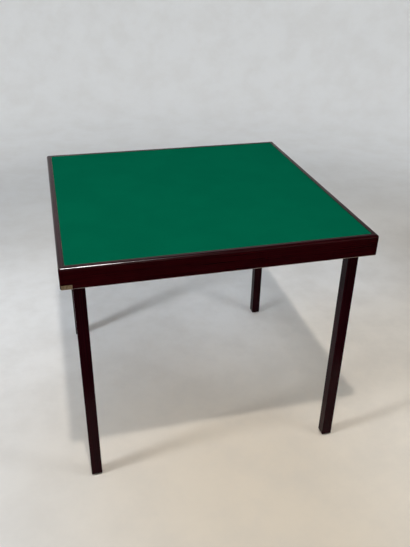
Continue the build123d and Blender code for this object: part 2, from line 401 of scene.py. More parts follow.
def make_stained_beech(direction, stain, shine):
    finish, tree, shader = new_finish(
        "stained_beech_" + direction, IOR=1.45, Specular_IOR_Level=shine
    )
    place = object_place(tree)
    board = stretched(tree, place, (1.0, 1.0, 1.0), GRAIN_TURNS[direction])
    grain = use_group(tree, wood_grain, Coordinates=board, Rings_per_Metre=210.0)
    streaks = maths(tree, "MULTIPLY", grain["Streaks"], 0.55)
    depth = maths(tree, "MULTIPLY_ADD", grain["Figure"], 0.45, streaks)
    colour = mix_colour(tree, depth, *stain)
    colour = mix_colour(tree, grain["Pores"], colour, stain[0], most=0.6)
    wear = use_group(tree, edge_wear, Coordinates=place, Reach=0.0011, Patchiness=0.85)
    colour = mix_colour(tree, wear["Wear"], colour, RUBBED_WOOD, most=0.5)
    if direction != "z":
        # Paints the pale line on the lower arris: a painted reflection of the bright
        # floor.
        colour = mix_colour(tree, lower_arris_painted_reflection(tree, place), colour, ARRIS_PAINTED_REFLECTION)
    plug(tree, shader["Base Color"], colour)
    marks = use_group(tree, smears, Coordinates=place, Cloud_Size=0.07)
    smear(tree, shader, marks, LACQUER_GLOSS, LACQUER_DULL, scratched=0.06)
    ridges = maths(tree, "MULTIPLY", grain["Streaks"], 0.25)
    relief = maths(tree, "SUBTRACT", ridges, grain["Pores"])
    add_bumps(tree, shader, relief, strength=0.25, distance=0.00004)
    return finish


stained_beech = {
    "x": make_stained_beech("x", RAIL_STAIN, RAIL_SHINE),
    "y": make_stained_beech("y", RAIL_STAIN, RAIL_SHINE),
    "z": make_stained_beech("z", LEG_STAIN_PAINTED_SHADE, LEG_SHINE),
}
print("stained beech along", ", ".join(stained_beech))

# %% [markdown]
# ## Bare wood inside the top
#
# The corner blocks are plain pine: pale, with hard brown latewood lines. The panel
# and the splines are plywood, whose face is peeled from the log, so its figure is
# broad and wavy. Both are dull and unfinished. They reuse the grain group with
# other values.

# %% Pine and plywood
PINE_PALE, PINE_DARK = (0.58, 0.39, 0.21, 1.0), (0.36, 0.18, 0.075, 1.0)
PLY_PALE, PLY_DARK = (0.56, 0.40, 0.24, 1.0), (0.40, 0.25, 0.13, 1.0)
# A bare board comes from another part of the log than the stained ones.
BARE_SHIFT = (0.0, 0.013, -0.02)


def make_bare_wood(name, direction, rings, wander, pale, dark, figure_share):
    finish, tree, shader = new_finish(name, Specular_IOR_Level=0.25)
    place = object_place(tree)
    board = stretched(tree, place, (1.0, 1.0, 1.0), GRAIN_TURNS[direction], BARE_SHIFT)
    grain = use_group(
        tree, wood_grain, Coordinates=board, Rings_per_Metre=rings, Wander=wander,
        Pore_Length=0.004, Pore_Width=0.0003,
    )
    colour = pale
    for effect, most in (("Figure", figure_share), ("Streaks", 0.18), ("Pores", 0.25)):
        colour = mix_colour(tree, grain[effect], colour, dark, most)
    plug(tree, shader["Base Color"], colour)
    roughness = spread(tree, grain["Streaks"], 0.0, 1.0, to_low=0.62, to_high=0.78)
    plug(tree, shader["Roughness"], roughness)
    add_bumps(tree, shader, grain["Streaks"], strength=0.5, distance=0.00008)
    return finish


pine = {
    d: make_bare_wood(
        "plain_pine_" + d, d, rings=330.0, wander=0.004,
        pale=PINE_PALE, dark=PINE_DARK, figure_share=0.6,
    )
    for d in ("x", "y")
}
plywood = make_bare_wood(
    "plywood_face", "x", rings=46.0, wander=0.12,
    pale=PLY_PALE, dark=PLY_DARK, figure_share=0.5,
)
print("bare woods", pine["x"].name, pine["y"].name, plywood.name)

# %% [markdown]
# ## Metals and the glides
#
# Small brass fittings that are never polished go brown and lose their mirror
# shine, brightest where they are rubbed. The brackets and their screws are zinc
# plated, with a faint cloudy spangle. Springs are blued steel, and the pins and
# rivets are bright steel. One maker function covers all four: two tones mixed by
# clouds, wear at the edges, and roughness from the smears. The glides are pressed
# dark fibre.

# %% Brass, zinc plate, steels and fibre
def make_metal(name, main, tarnish, edge, cloud_size, gloss, dull):
    finish, tree, shader = new_finish(name, Metallic=1.0)
    place = object_place(tree)
    marks = use_group(tree, smears, Coordinates=place, Cloud_Size=cloud_size)
    wear = use_group(tree, edge_wear, Coordinates=place, Reach=0.0006, Patchiness=0.4)
    colour = mix_colour(tree, marks["Clouds"], main, tarnish)
    colour = mix_colour(tree, wear["Wear"], colour, edge, most=0.6)
    plug(tree, shader["Base Color"], colour)
    smear(tree, shader, marks, gloss, dull, scratched=0.1)
    add_bumps(tree, shader, marks["Scratches"], strength=0.2, distance=0.00003)
    return finish


brass = make_metal(
    "aged_brass", main=(0.46, 0.35, 0.205, 1.0), tarnish=(0.28, 0.205, 0.120, 1.0),
    edge=(0.66, 0.50, 0.28, 1.0), cloud_size=0.006, gloss=0.36, dull=0.54,
)
zinc = make_metal(
    "zinc_plate", main=(0.46, 0.47, 0.47, 1.0), tarnish=(0.34, 0.35, 0.36, 1.0),
    edge=(0.58, 0.58, 0.57, 1.0), cloud_size=0.004, gloss=0.32, dull=0.46,
)
bright_steel = make_metal(
    "bright_steel", main=(0.48, 0.48, 0.48, 1.0), tarnish=(0.36, 0.35, 0.34, 1.0),
    edge=(0.66, 0.66, 0.66, 1.0), cloud_size=0.010, gloss=0.22, dull=0.36,
)
blued_steel = make_metal(
    "blued_spring_steel", main=(0.060, 0.070, 0.095, 1.0),
    tarnish=(0.035, 0.038, 0.050, 1.0), edge=(0.30, 0.30, 0.31, 1.0),
    cloud_size=0.012, gloss=0.28, dull=0.40,
)
print("metals", [m.name for m in (brass, zinc, bright_steel, blued_steel)])


FIBRE_DARK, FIBRE_PALE = (0.012, 0.008, 0.006, 1.0), (0.035, 0.023, 0.016, 1.0)
FIBRE_SCRATCH = (0.09, 0.07, 0.055, 1.0)


def make_fibre():
    finish, tree, shader = new_finish("dark_fibre_glide", Specular_IOR_Level=0.35)
    place = object_place(tree)
    flecks = noise(tree, place, 1400.0, 3.0, 0.7)
    scuffs = use_group(tree, smears, Coordinates=place, Cloud_Size=0.008)
    colour = mix_colour(tree, spread(tree, flecks, 0.35, 0.7), FIBRE_DARK, FIBRE_PALE)
    colour = mix_colour(tree, scuffs["Scratches"], colour, FIBRE_SCRATCH, most=0.4)
    plug(tree, shader["Base Color"], colour)
    roughness = spread(tree, scuffs["Clouds"], 0.0, 1.0, to_low=0.5, to_high=0.72)
    plug(tree, shader["Roughness"], roughness)
    add_bumps(tree, shader, flecks, strength=0.5, distance=0.00006)
    return finish


fibre = make_fibre()
print("fibre", fibre.name)

# %% [markdown]
# ## Baize
#
# Baize is a plain woollen cloth, milled until its weave is hidden under a short
# nap. Close to, its surface is a mat of fine fibres, some lighter; from further
# off it is an even green, a little mottled where play has laid the nap. Sheen, a
# soft glow at grazing angles, is what tells cloth from paint, and it is a plain
# number on the shader. The rest is noise of three sizes.

# %% The baize finish
BAIZE_GREEN = (0.0004, 0.100, 0.050, 1.0)
BAIZE_SHADE = (0.0002, 0.092, 0.046, 1.0)
BAIZE_LIGHT = (0.003, 0.145, 0.085, 1.0)


def make_baize_finish():
    finish, tree, shader = new_finish(
        "green_baize", Specular_IOR_Level=0.0, Roughness=0.95,
        Sheen_Weight=0.05, Sheen_Roughness=0.5, Sheen_Tint=(0.02, 0.75, 0.50, 1.0),
    )
    place = object_place(tree)
    laid = noise(tree, place, 9.0, 4.0, 0.6)
    pills = noise(tree, place, 420.0, 3.0, 0.65)
    lying = stretched(tree, place, (900.0, 2600.0, 2600.0), (0.0, 0.0, 0.6))
    fibres = noise(tree, lying, 1.0, 2.0, 0.7)
    weave = noise(tree, stretched(tree, place, (1500.0, 1500.0, 200.0)), 1.0, 1.0)
    colour = mix_colour(tree, spread(tree, laid, 0.35, 0.65), BAIZE_SHADE, BAIZE_GREEN)
    for pale in (spread(tree, pills, 0.52, 0.75), spread(tree, fibres, 0.60, 0.80)):
        colour = mix_colour(tree, pale, colour, BAIZE_LIGHT, most=0.35)
    plug(tree, shader["Base Color"], colour)
    nap = maths(tree, "ADD", fibres, pills)
    height = maths(tree, "ADD", maths(tree, "MULTIPLY", weave, 0.5), nap)
    add_bumps(tree, shader, height, strength=0.6, distance=0.00025)
    return finish


baize_finish = make_baize_finish()
print("cloth finish", baize_finish.name)

# %% [markdown]
# ## Dressing the frame's own pieces
#
# A piece whose shape is already right keeps its mesh, and only its material slots
# change. The table below says which finish goes with which kind of name; the
# blocks also need the direction in which their grain runs.

# %% Give each kept piece its finish
def dress(node_name, finish):
    """Puts one finish in every slot of a frame piece."""
    data = nodes[node_name].data
    if not data.materials:
        data.materials.append(finish)
    for number in range(len(data.materials)):
        data.materials[number] = finish


FINISH_OF = {
    "leg": stained_beech["z"],
    "stop_plate": brass,
    "leg_bush": brass,
    "hinge_bracket": zinc,
    "backspring": blued_steel,
}
for number, corner in enumerate(CORNERS):
    for kind, finish in FINISH_OF.items():
        dress(kind + "_" + corner, finish)
    dress("packing_block_" + corner, pine["xy"[number % 2]])
    dress("stop_block_" + corner, pine["yx"[number % 2]])
dress("play_panel", plywood)
dress("mitre_splines", plywood)
corner_pieces = (len(FINISH_OF) + 2) * len(CORNERS)
print("dressed the panel, the splines and", corner_pieces, "corner pieces")

# %% [markdown]
# ## Finishing a new piece
#
# A piece made here starts in a bmesh, Blender's editable mesh. When it is done it
# becomes an object at the origin, with its place in its mesh, its finish in its
# one slot, and smooth shading that still breaks at sharp edges.

# %% Turn a bmesh into a finished piece
SHARP_ANGLE = math.radians(32)


def as_object(bm, name, finish=None):
    """Makes a bmesh an object at the origin, with its finish, if any, in one slot."""
    mesh = bpy.data.meshes.new(name)
    bm.to_mesh(mesh)
    bm.free()
    if finish:
        mesh.materials.append(finish)
    made = bpy.data.objects.new(name, mesh)
    bpy.context.scene.collection.objects.link(made)
    return made


def finish_piece(bm, name, finish, body, stands_for):
    """Makes the bmesh an object that rides on a body and replaces frame pieces."""
    bmesh.ops.remove_doubles(bm, verts=bm.verts, dist=1e-7)
    bmesh.ops.recalc_face_normals(bm, faces=bm.faces)
    for face in bm.faces:
        face.smooth = True
    for edge in bm.edges:
        edge.smooth = edge.is_manifold and edge.calc_face_angle(0.0) < SHARP_ANGLE
    piece = as_object(bm, name, finish)
    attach(piece, body)
    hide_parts(*stands_for)
    triangles = sum(len(p.vertices) - 2 for p in piece.data.polygons)
    print("made", name, "on", body, "with", triangles, "triangles")
    return piece


# %% [markdown]
# ## The four rails
#
# The frame is what the eye follows round the cloth, so its rails are made afresh,
# with soft edges that catch the light. Each rail has one profile: a face rounded
# over into a lip, and a step inside that the panel rests on. The profile could be
# extruded and its ends cut, but then the rounding would stop short at a corner.
# So it is carried along the rail and round half of each corner, row by row, as a
# loft. A flat face keeps a narrow strip beside each rounding, which stops the
# smooth shading of the rounding from spreading across the flat.

# %% The rail's profile
TOP = cad_box[1].z
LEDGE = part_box("play_panel")[0].z
RAIL_THICK, LIP_WIDTH = 0.020, 0.015
LIP_ROUND, LOWER_ARRIS, SOFT_EDGE = 0.0065, 0.0010, 0.00045
HELD_STRIP = 0.0003
CORNER_ROUND, CORNER_STEPS = 0.0065, 8

# Each corner is its distance in from the outer face, its height, and how far and
# in how many steps it is rounded.
RAIL_CORNERS = [
    (LOWER_ARRIS, RAIL_BOTTOM, SOFT_EDGE, 3),
    (0.0, RAIL_BOTTOM + LOWER_ARRIS, SOFT_EDGE, 3),
    (0.0, TOP, LIP_ROUND, 9),
    (LIP_WIDTH, TOP, SOFT_EDGE, 3),
    (LIP_WIDTH, LEDGE, 0.0, 0),
    (RAIL_THICK, LEDGE, 0.0, 0),
    (RAIL_THICK, RAIL_BOTTOM, SOFT_EDGE, 3),
]


def rounded_outline(corners):
    """A closed outline of points, with each corner rounded in steps."""
    outline = []
    for n, (depth, height, radius, steps) in enumerate(corners):
        here = Vector((depth, height))
        if not radius:
            outline.append(here)
            continue
        back = (Vector(corners[n - 1][:2]) - here).normalized()
        onward = (Vector(corners[(n + 1) % len(corners)][:2]) - here).normalized()
        half_angle = back.angle(onward) / 2
        cut = radius / math.tan(half_angle)
        middle = here + (back + onward).normalized() * radius / math.sin(half_angle)
        first = (here + back * cut - middle).normalized()
        last = (here + onward * cut - middle).normalized()
        outline.append(here + back * (cut + HELD_STRIP))
        for step in range(steps + 1):
            outline.append(middle + first.slerp(last, step / steps) * radius)
        outline.append(here + onward * (cut + HELD_STRIP))
    return outline


def rail_row(depth):
    """Points along the front rail at one depth, from mitre to mitre."""
    reach = CORNER_ROUND - depth
    middle = HALF - CORNER_ROUND
    row = []
    for step in range(CORNER_STEPS + 1):
        slant = math.radians(45) * (1 + step / CORNER_STEPS)
        if reach > 0:
            left, out = reach * math.cos(slant), reach * math.sin(slant)
            row.append((-middle - left, -middle - out))
        else:
            row.append((depth - HALF, depth - HALF))
    return row + [(-x, y) for x, y in reversed(row)]


def plain_rail():
    """The front rail, before it is cut for its brass."""
    bm = bmesh.new()
    rows = [
        [bm.verts.new((x, y, height)) for x, y in rail_row(depth)]
        for depth, height in rounded_outline(RAIL_CORNERS)
    ]
    for row, following in zip(rows, rows[1:] + rows[:1]):
        for n in range(len(row) - 1):
            bm.faces.new((row[n], row[n + 1], following[n + 1], following[n]))
    bmesh.ops.remove_doubles(bm, verts=bm.verts, dist=1e-6)
    bmesh.ops.contextual_create(bm, geom=[e for e in bm.edges if e.is_boundary])
    bmesh.ops.recalc_face_normals(bm, faces=bm.faces)
    return bm


print("rail profile with", len(rounded_outline(RAIL_CORNERS)), "points")

# %% [markdown]
# The brass angles are let in flush, so the rails need recesses for them. A Boolean
# modifier cuts these: each cutter is a box a hair larger than the brass, which
# leaves the fine dark line that a fitted inlay always shows. The modifiers are
# worked out once, and the result is kept as the rail's own mesh.

# %% Cut the recesses and set the rails round the panel
PLATE_METAL, FIT_LINE, PAST = 0.0015, 0.00005, 0.002
plate_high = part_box("stop_plate_front_left")[1]
outside, under = -HALF - PAST, RAIL_BOTTOM - PAST
plate_end = plate_high.x + FIT_LINE
plate_back = PLATE_METAL - HALF + FIT_LINE
rail_back = RAIL_THICK - HALF + PAST
foot_top = RAIL_BOTTOM + PLATE_METAL + FIT_LINE
# The front rail is cut for its own brass, wall and foot, and at its right end for
# the foot of the next rail's.
recesses = [
    ((outside, outside, under), (plate_end, plate_back, plate_high.z + FIT_LINE)),
    ((outside, outside, under), (plate_end, rail_back, foot_top)),
    ((-plate_high.y - FIT_LINE, outside, under), (HALF + PAST, rail_back, foot_top)),
]


def add_block(bm, low, high):
    """A box between two corners."""
    low, high = Vector(low), Vector(high)
    size = high - low
    place = Matrix.Translation((low + high) / 2) @ Matrix.Diagonal((*size, 1.0))
    bmesh.ops.create_cube(bm, size=1.0, matrix=place)


def cut_with(bm, blocks):
    """The bmesh less some blocks, as a new bmesh."""
    rough = as_object(bm, "rough")
    cutters = []
    for low, high in blocks:
        box = bmesh.new()
        add_block(box, low, high)
        cutter = as_object(box, "cutter")
        cut = rough.modifiers.new("recess", "BOOLEAN")
        cut.operation, cut.solver, cut.object = "DIFFERENCE", "EXACT", cutter
        cutters.append(cutter)
    result = rough.evaluated_get(bpy.context.evaluated_depsgraph_get()).to_mesh()
    cut_bm = bmesh.new()
    cut_bm.from_mesh(result)
    for done in [rough, *cutters]:
        bpy.data.objects.remove(done)
    return cut_bm


for number, side in enumerate(("front", "right", "back", "left")):
    bm = cut_with(plain_rail(), recesses)
    turn = Matrix.Rotation(number * math.pi / 2, 4, "Z")
    bmesh.ops.transform(bm, matrix=turn, verts=bm.verts)
    rail = finish_piece(
        bm, "bevelled_rail_" + side, stained_beech["xy"[number % 2]],
        "top", ["rail_" + side],
    )

# %% [markdown]
# ## Turned pieces
#
# Pins, rivets, screws and glides are all round. All but the screws are drawn as
# half an outline, from the axis out and back, and spun round the axis, like work
# on a lathe. Plain cylinders would do the job, but hammered pins have domed heads,
# and screws have slots, and both show when the table is turned over.

# %% The lathe, and where each corner's parts go
pin_low, pin_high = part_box("pivot_pin_front_left")
PIVOT = (pin_low + pin_high) / 2
QUARTERS = [Matrix.Rotation(n * math.pi / 2, 4, "Z") for n in range(len(CORNERS))]


def lathe(outline, steps=32):
    """Spins an outline of (radius, height) points that starts and ends on the axis."""
    bm = bmesh.new()
    verts = [bm.verts.new((r, 0, h)) for r, h in outline]
    edges = [bm.edges.new(pair) for pair in zip(verts, verts[1:])]
    bmesh.ops.spin(
        bm, geom=verts + edges, cent=(0, 0, 0), axis=(0, 0, 1),
        angle=2 * math.pi, steps=steps, use_merge=True,
    )
    bmesh.ops.remove_doubles(bm, verts=bm.verts, dist=1e-7)
    return bm


def repeated(bm, places):
    """Copies of a bmesh at several places, as one bmesh."""
    pattern = bpy.data.meshes.new("pattern")
    bm.to_mesh(pattern)
    bm.free()
    many = bmesh.new()
    for place in places:
        before = len(many.verts)
        many.from_mesh(pattern)
        many.verts.ensure_lookup_table()
        bmesh.ops.transform(many, matrix=place, verts=many.verts[before:])
    bpy.data.meshes.remove(pattern)
    return many


def dome(radius, rise, crown, steps=6):
    """Half the outline of a domed head, from its rim up to its crown's height."""
    angles = [math.pi / 2 * n / steps for n in range(steps)]
    return [
        (radius * math.cos(a), crown - rise * (1 - math.sin(a))) for a in angles
    ] + [(0.0, crown)]


print("pivot at", [round(v, 5) for v in PIVOT])

# %% Pivot pins and spring rivets
PIN_RADIUS, PIN_HEAD_RADIUS, PIN_HEAD_THICK = 0.004, 0.006, 0.0018
RIVET_RADIUS, RIVET_HEAD_RADIUS, RIVET_HEAD_THICK = 0.002, 0.0034, 0.0014
PIN_DOME, RIVET_DOME = PIN_HEAD_THICK * 0.75, RIVET_HEAD_THICK * 0.8
SPRING_THICK, NOSE_GAP, RIVET_PAST_NOSE = 0.0012, 0.001, 0.029

pin_reach = (pin_high.y - pin_low.y) / 2
shoulder = pin_reach - PIN_HEAD_THICK
head = [(PIN_RADIUS, shoulder), (PIN_HEAD_RADIUS, shoulder)]
head += dome(PIN_HEAD_RADIUS, PIN_DOME, pin_reach)
tail = [(r, -h) for r, h in reversed(head)]
for corner, quarter in zip(CORNERS, QUARTERS):
    bm = lathe(tail + head)
    laid = quarter @ Matrix.Translation(PIVOT) @ Matrix.Rotation(math.pi / 2, 4, "X")
    bmesh.ops.transform(bm, matrix=laid, verts=bm.verts)
    pin = finish_piece(
        bm, "domed_pin_" + corner, bright_steel, "top", ["pivot_pin_" + corner]
    )

base_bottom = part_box("backspring_front_left")[1].z
rivet_low = base_bottom - SPRING_THICK
rivet_length = LEDGE - rivet_low
rivet_head = dome(RIVET_HEAD_RADIUS, RIVET_DOME, RIVET_HEAD_THICK)
rivet_outline = [(r, -h) for r, h in reversed(rivet_head)] + [
    (RIVET_HEAD_RADIUS, 0.0), (RIVET_RADIUS, 0.0),
    (RIVET_RADIUS, rivet_length), (0.0, rivet_length),
]
leg_low, leg_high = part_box("leg_front_left")
spring_nose = (leg_high.x - leg_low.x) / 2 + NOSE_GAP
rivet_x = PIVOT.x + spring_nose + RIVET_PAST_NOSE
rivet_place = Matrix.Translation((rivet_x, PIVOT.y, rivet_low))
rivets = finish_piece(
    repeated(lathe(rivet_outline, steps=24), [q @ rivet_place for q in QUARTERS]),
    "domed_rivets", bright_steel, "top", ["spring_rivets"],
)

# %% [markdown]
# A screw's slot is sunk into its flat head: the head's face is inset, which leaves
# a rim, cut twice to part off a strip, and the strip is pushed in. Each screw is
# then turned by its own angle, because nobody stops them all in line.

# %% Slotted screws
# The slot and the rim are shares of the head's radius, the slot's floor is a share
# of its mouth's length, and the point a share of the shank's radius.
SLOT_WIDTH_SHARE, SLOT_DEPTH_SHARE, RIM_SHARE = 0.26, 0.28, 0.08
SLOT_FLOOR_SHARE, POINT_SHARE = 0.7, 0.15
# From each screw to the next, in radians.
TURN_STEP = 2.4


def slotted_screw(radius, head_radius, length):
    """A countersunk screw pointing up, its slotted face level with Z = 0."""
    bm = bmesh.new()
    bmesh.ops.create_circle(bm, cap_ends=True, radius=head_radius, segments=24)
    bmesh.ops.inset_region(
        bm, faces=bm.faces[:], thickness=head_radius * RIM_SHARE, use_even_offset=True
    )
    half_slot = head_radius * SLOT_WIDTH_SHARE / 2
    for way in (-1, 1):
        inner = [f for f in bm.faces if len(f.verts) > 4]
        around = {part for f in inner for part in (*f.edges, *f.verts)}
        bmesh.ops.bisect_plane(
            bm, geom=inner + list(around), dist=1e-8,
            plane_co=(0, way * half_slot, 0), plane_no=(0, 1, 0),
        )
    strip = [
        f for f in bm.faces
        if abs(f.calc_center_median().y) < half_slot / 2
        and f.calc_center_median().length < head_radius / 4
    ]
    sunk = bmesh.ops.extrude_face_region(bm, geom=strip)["geom"]
    slot_floor = [v for v in sunk if isinstance(v, bmesh.types.BMVert)]
    slot_depth = head_radius * SLOT_DEPTH_SHARE
    bmesh.ops.translate(bm, verts=slot_floor, vec=(0, 0, slot_depth))
    bmesh.ops.scale(bm, verts=slot_floor, vec=(SLOT_FLOOR_SHARE, 1, 1))
    bmesh.ops.delete(bm, geom=[f for f in strip if f.is_valid], context="FACES_ONLY")
    neck = (radius, head_radius - radius)
    taper = (radius, length - 2 * radius)
    point = (radius * POINT_SHARE, length)
    for reach, height in (neck, taper, point):
        edges = [e for e in bm.edges if e.is_boundary]
        rim = [e for e in edges if e.verts[0].co.xy.length > radius * 0.9]
        drawn = bmesh.ops.extrude_edge_only(bm, edges=rim)["geom"]
        for vert in (v for v in drawn if isinstance(v, bmesh.types.BMVert)):
            vert.co.xy = vert.co.xy.normalized() * reach
            vert.co.z = height
    bmesh.ops.contextual_create(bm, geom=[e for e in bm.edges if e.is_boundary])
    return bm


def screw_places(spots, level, first_turn):
    """Each corner's screws, every one turned by its own angle."""
    places = []
    for quarter in QUARTERS:
        for x, y in spots:
            turn = Matrix.Rotation(first_turn + TURN_STEP * len(places), 4, "Z")
            places.append(quarter @ Matrix.Translation((x, y, level)) @ turn)
    return places


# A screw's size is its shank's radius, its head's radius and its length.
PLATE_SCREW, PLATE_FIRST_TURN = (0.0015, 0.0029, 0.012), 0.3
PLATE_END_MARGIN, PLATE_RUN_SHARES = 0.0044, (0.4, 0.8)
BRACKET_SCREW, BRACKET_FIRST_TURN = (0.00175, 0.0034, 0.009), 1.1
BRACKET_NEAR, BRACKET_FAR, BRACKET_SIDE = 0.0034, 0.0586, 0.0099

rail_middle = RAIL_THICK / 2 - HALF
run = plate_high.y - rail_middle
plate_spots = [(plate_high.x - PLATE_END_MARGIN, rail_middle)] + [
    (rail_middle, rail_middle + run * share) for share in PLATE_RUN_SHARES
]
plate_screw_places = screw_places(plate_spots, RAIL_BOTTOM, PLATE_FIRST_TURN)
plate_screws = finish_piece(
    repeated(slotted_screw(*PLATE_SCREW), plate_screw_places),
    "slotted_plate_screws", brass, "top", ["plate_screws"],
)

bracket_spots = [
    (PIVOT.x + x, PIVOT.y + y)
    for x in (spring_nose + BRACKET_NEAR, BRACKET_FAR)
    for y in (-BRACKET_SIDE, BRACKET_SIDE)
]
bracket_screw_places = screw_places(bracket_spots, base_bottom, BRACKET_FIRST_TURN)
bracket_screws = finish_piece(
    repeated(slotted_screw(*BRACKET_SCREW), bracket_screw_places),
    "slotted_bracket_screws", zinc, "top", ["bracket_screws"],
)

# %% [markdown]
# The glides are discs of pressed fibre, nailed under the feet, with the nail's head
# sunk in the middle. They carry the table, so their edge is rounded: a sharp one
# would catch on a carpet. The nail's head takes a second finish.

# %% Glides
NAIL_HEAD_RADIUS = 0.0026
NAIL_HEAD = [
    (0.0, 0.0002), (0.0016, 0.0003), (0.0024, 0.0007), (NAIL_HEAD_RADIUS, 0.0011),
]
GLIDE_DISC = [
    (0.0029, 0.0011), (0.0034, 0.0003), (0.0040, 0.0), (0.0086, 0.0),
    (0.0093, 0.0002), (0.0098, 0.0007), (0.0100, 0.0014), (0.0100, 0.0027),
    (0.0097, 0.0030),
]
NAIL_SHANK = [(0.00125, 0.0030), (0.00125, 0.0170), (0.0, 0.0170)]
for corner, quarter in zip(CORNERS, QUARTERS):
    bm = lathe(NAIL_HEAD + GLIDE_DISC + NAIL_SHANK, steps=40)
    under_foot = quarter @ Matrix.Translation((PIVOT.x, PIVOT.y, 0))
    bmesh.ops.transform(bm, matrix=under_foot, verts=bm.verts)
    glide = finish_piece(
        bm, "nailed_glide_" + corner, fibre,
        "leg_" + corner + "_body", ["glide_" + corner],
    )
    glide.data.materials.append(bright_steel)
    foot = under_foot.translation.xy
    for face in glide.data.polygons:
        if (face.center.xy - foot).length < NAIL_HEAD_RADIUS:
            face.material_index = 1

# %% [markdown]
# ## The playing cloth
#
# The baize is glued to the panel and pressed down at its edge, just below the lip
# of the frame. It could be a flat sheet, but a real one has a soft, rounded edge
# and is never quite level. So a fine grid is made, its border rows are pressed
# down, its inside is given waves too low to see except in the light, and a second
# layer closes it underneath.

# %% Lay the baize
low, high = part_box("baize")
CLOTH_HALF = (high.x - low.x) / 2
CLOTH_ROWS = 156
PRESSED_WIDTH, PRESSED_DEPTH = 0.0016, 0.0006
WAVE_HEIGHT = 0.00006
# How far in from the cloth's edge the first rows of the grid are set.
BORDER_ROWS = 0.0, 0.00012, 0.00055, PRESSED_WIDTH


def cloth_height(x, y):
    """How high the top of the cloth stands at one place."""
    inside = CLOTH_HALF - max(abs(x), abs(y))
    share = min(max(inside / PRESSED_WIDTH, 0.0), 1.0)
    pressed = PRESSED_DEPTH * (1 - math.sqrt(1 - (1 - share) ** 2))
    # Waves 0.3 to 0.4 m long cross each other.
    wave = math.sin(x * 21 + 1.3) * math.sin(y * 17 + 0.4) + math.sin(x * 9 - y * 13)
    return high.z - pressed - WAVE_HEIGHT * (1 + wave / 2) * share


bm = bmesh.new()
bmesh.ops.create_grid(bm, x_segments=CLOTH_ROWS, y_segments=CLOTH_ROWS, size=CLOTH_HALF)
border_step = 2 * CLOTH_HALF / CLOTH_ROWS
for vert in bm.verts:
    for axis in (0, 1):
        row = round((CLOTH_HALF - abs(vert.co[axis])) / border_step)
        if row < len(BORDER_ROWS):
            vert.co[axis] = math.copysign(CLOTH_HALF - BORDER_ROWS[row], vert.co[axis])
    vert.co.z = cloth_height(vert.co.x, vert.co.y)
rim = [edge for edge in bm.edges if edge.is_boundary]
skirt = bmesh.ops.extrude_edge_only(bm, edges=rim)["geom"]
for element in skirt:
    if isinstance(element, bmesh.types.BMVert):
        element.co.z = low.z
bmesh.ops.contextual_create(bm, geom=[e for e in bm.edges if e.is_boundary])
baize_cloth = finish_piece(bm, "baize_cloth", baize_finish, "top", ["baize"])

# %% [markdown]
# ## The studio
#
# The table stands on a pale floor that curves up into a wall all the way round,
# like a shallow bowl, so that no corner or horizon shows from any side. One
# profile is spun round the middle of the floor. The bowl is part of the stage,
# not of the table. Its colour is cool, warmer in front and to the right. Light is
# painted on it as well: a band behind the table and beside it is painted
# brighter, and so is the floor in front to the right. The wall has a painted glow,
# seen only by the camera and in reflections, because hardly any of the lamps'
# light gets that far.

# %% The floor and its curved wall
FLOOR_RADIUS = 3.1
SWEEP_RADIUS = 0.7
WALL_TOP = 2.3
FLOOR_COOL = (0.685, 0.70, 0.712, 1.0)
FLOOR_WARM = (0.684, 0.61, 0.505, 1.0)
# Colour of the painted light in a band behind the table.
FLOOR_PAINTED_LIGHT = (0.873, 0.89, 0.905, 1.0)
# Colour of the painted light on the floor in front to the right.
FLOOR_LIT = (0.88, 0.83, 0.75, 1.0)
FLOOR_SCUFF = (0.50, 0.48, 0.45, 1.0)
WALL_GLOW, WALL_GLOW_COLOUR = 0.18, (0.985, 1.0, 1.005, 1.0)
GLOW_START, GLOW_FULL = 1.9, 3.1
ROOM_MIDDLE = Vector((0, 0, 1.5))
# Each patch has its colour, its greatest share, and where it fades in: an axis, the
# place where it starts and the place where it is full.
FLOOR_PATCHES = [
    (FLOOR_WARM, 1.0, [(0, -1.06, 0.05), (1, 2.2, -0.8)]),
    # Painted light: a band behind the table and beside it is painted brighter.
    (FLOOR_PAINTED_LIGHT, 1.0, [(1, -0.4, 0.5), (1, 1.3, 0.7), (0, 1.5, 0.8)]),
    # Painted light: the floor in front to the right is painted warmer and brighter.
    (FLOOR_LIT, 0.6, [(0, 0.15, 0.7), (1, 0.6, 0.1)]),
]


def make_floor_finish():
    finish, tree, shader = new_finish(
        "pale_floor", Roughness=0.9, Specular_IOR_Level=0.1
    )
    place = object_place(tree)
    parts = add(tree, "SeparateXYZ", Vector=place).outputs
    colour = FLOOR_COOL
    for patch_colour, share, fades in FLOOR_PATCHES:
        for axis, start, full in fades:
            fade = spread(tree, parts[axis], start, full)
            share = maths(tree, "MULTIPLY", share, fade)
        colour = mix_colour(tree, share, colour, patch_colour)
    scuffed = noise(tree, place, 5.0, 6.0, 0.65)
    scuff_share = spread(tree, scuffed, 0.35, 0.7, to_high=0.22)
    colour = mix_colour(tree, scuff_share, colour, FLOOR_SCUFF)
    plug(tree, shader["Base Color"], colour)
    # A painted glow on the far floor and the wall, seen only by the camera and in
    # reflections.
    away = vector_maths(tree, "LENGTH", place)["Value"]
    glow = spread(tree, away, GLOW_START, GLOW_FULL, to_high=WALL_GLOW)
    seen_glow = maths(tree, "MULTIPLY", glow, seen_rays(tree))
    plug(tree, shader["Emission Strength"], seen_glow)
    plug(tree, shader["Emission Color"], WALL_GLOW_COLOUR)
    add_bumps(tree, shader, scuffed, strength=0.15, distance=0.001)
    return finish


